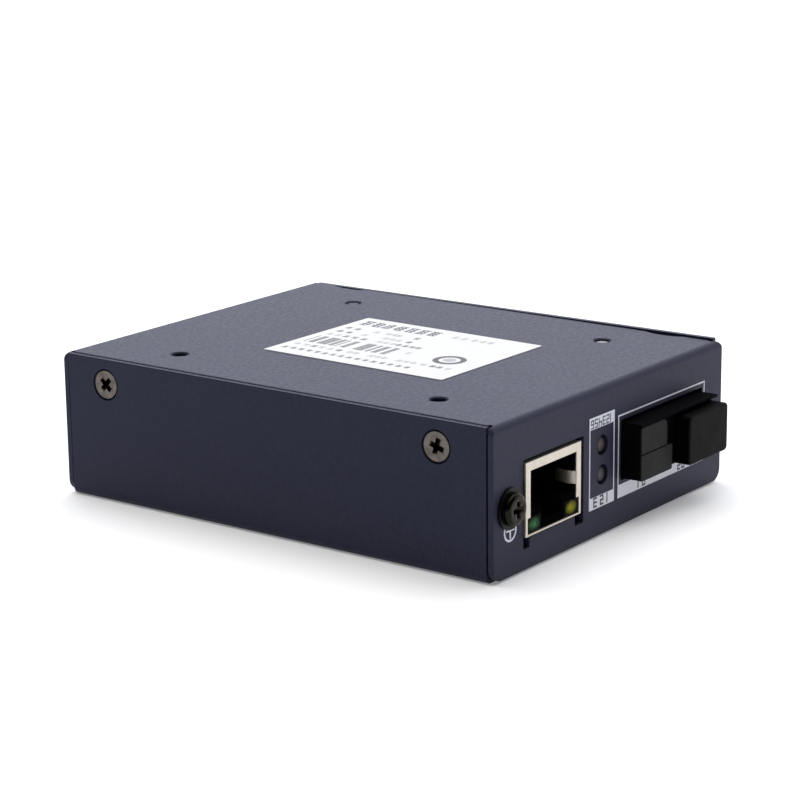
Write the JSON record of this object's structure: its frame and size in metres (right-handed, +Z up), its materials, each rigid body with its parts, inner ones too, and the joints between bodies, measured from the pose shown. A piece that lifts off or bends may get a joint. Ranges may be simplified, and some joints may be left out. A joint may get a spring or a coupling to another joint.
{
  "type": "fibre media converter",
  "caption": "Small folded-steel media converter with a copper network jack, a duplex fibre receptacle under dust plugs, indicator lamps, a ground screw and a rear power inlet.",
  "frame": {"origin": "middle of the broad face that the case lies on, in the middle of its length and width", "axes": "+Z up through the plate that carries the rating label, -Y out of the front panel with the ports, +X towards the fibre ports. This is how the case lies: the ports' legends read upside down, because the labelled underside is on top."},
  "size_m": [0.072, 0.0978, 0.0263],
  "materials": {
    "powder_coat": "fine textured dark blue-grey powder coat",
    "black_nickel": "dark nickel plated steel screws",
    "zinc": "zinc plated steel",
    "blackened_steel": "blackened spring steel",
    "brass_fittings": "nickel-free turned brass",
    "label_paper": "white matt paper label",
    "board": "green circuit board with solder mask",
    "tinned_foil": "tinned shield sheet",
    "black_moulding": "black moulded plastic",
    "fibre_moulding": "dark grey-blue moulded plastic",
    "plug_moulding": "dark moulded plastic dust plugs",
    "gold_plate": "gold-plated contacts and leads",
    "lens_green": "clear lens with a green tint, unlit",
    "lens_yellow": "clear lens with a yellow tint, unlit",
    "lens_frosted": "frosted lens, unlit",
    "component_black": "black component bodies",
    "can_metal": "metal cans",
    "white_ceramic": "ceramic chip parts"
  },
  "bodies": {
    "case": {"base_tray": "powder_coat", "cover": "powder_coat", "side_screws": "black_nickel", "ground_flat_washer": "zinc", "ground_spring_washer": "blackened_steel", "ground_screw": "black_nickel", "ground_nut": "zinc", "board_standoffs": "brass_fittings", "board_spring_washers": "zinc", "board_screws_long": "zinc", "board_screws_short": "zinc", "rating_label": "label_paper", "circuit_board": "board", "jack_shield": "tinned_foil", "jack_housing": "black_moulding", "jack_contacts": "gold_plate", "jack_lamp_green": "lens_green", "jack_lamp_yellow": "lens_yellow", "lamp_holder": "black_moulding", "link_lamp": "lens_frosted", "power_lamp": "lens_frosted", "fibre_receptacle": "fibre_moulding", "rx_optical_sleeve": "can_metal", "tx_optical_sleeve": "can_metal", "rx_optical_assembly": "can_metal", "tx_optical_assembly": "can_metal", "optical_leads": "gold_plate", "power_inlet_housing": "black_moulding", "power_inlet_pin": "zinc", "power_inlet_spring": "zinc", "converter_chip": "component_black", "line_transformer": "component_black", "crystal": "can_metal", "electrolytic_capacitors": "can_metal", "voltage_regulator": "component_black", "power_inductor": "component_black", "chip_resistors": "white_ceramic"},
    "rx_plug": {"rx_dust_plug": "plug_moulding"},
    "tx_plug": {"tx_dust_plug": "plug_moulding"}
  },
  "joints": [
    {"name": "rx_plug_pull", "type": "slide", "parent": "case", "child": "rx_plug", "axis": [0, -1, 0], "range_m": [0, 0.008]},
    {"name": "tx_plug_pull", "type": "slide", "parent": "case", "child": "tx_plug", "axis": [0, -1, 0], "range_m": [0, 0.008]}
  ]
}
